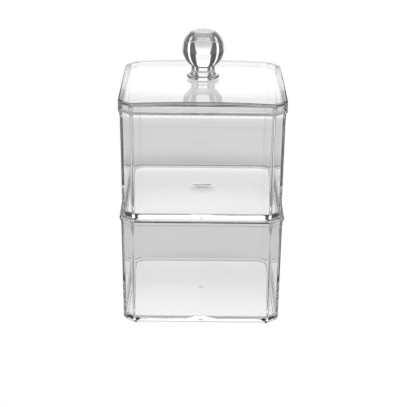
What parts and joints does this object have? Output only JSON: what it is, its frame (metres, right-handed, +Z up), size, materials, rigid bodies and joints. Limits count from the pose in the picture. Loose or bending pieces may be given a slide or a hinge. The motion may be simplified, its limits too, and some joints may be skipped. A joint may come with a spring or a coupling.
{
  "type": "stacking cotton swab jar",
  "caption": "Square clear acrylic swab jar: open boxes with cut corners stack in each other's rims, under a drop-in lid with a ball knob.",
  "frame": {"origin": "centre of the jar's footprint, on the surface that it stands on", "axes": "+Z up through the knob, +X and +Y square to the side walls, and the side that the picture shows faces -Y"},
  "size_m": [0.092, 0.092, 0.1604],
  "materials": {
    "box_acrylic": "polished clear acrylic, injection moulded",
    "lid_acrylic": "polished clear acrylic, injection moulded",
    "knob_acrylic": "polished clear acrylic, turned"
  },
  "bodies": {
    "lower_box": {"lower_box": "box_acrylic"},
    "upper_box": {"upper_box": "box_acrylic"},
    "lid": {"lid": "lid_acrylic", "knob": "knob_acrylic"}
  },
  "joints": [
    {"name": "upper_box_lift", "type": "slide", "parent": "lower_box", "child": "upper_box", "axis": [0, 0, 1], "range_m": [0, 0.08]},
    {"name": "lid_lift", "type": "slide", "parent": "upper_box", "child": "lid", "axis": [0, 0, 1], "range_m": [0, 0.08]}
  ]
}
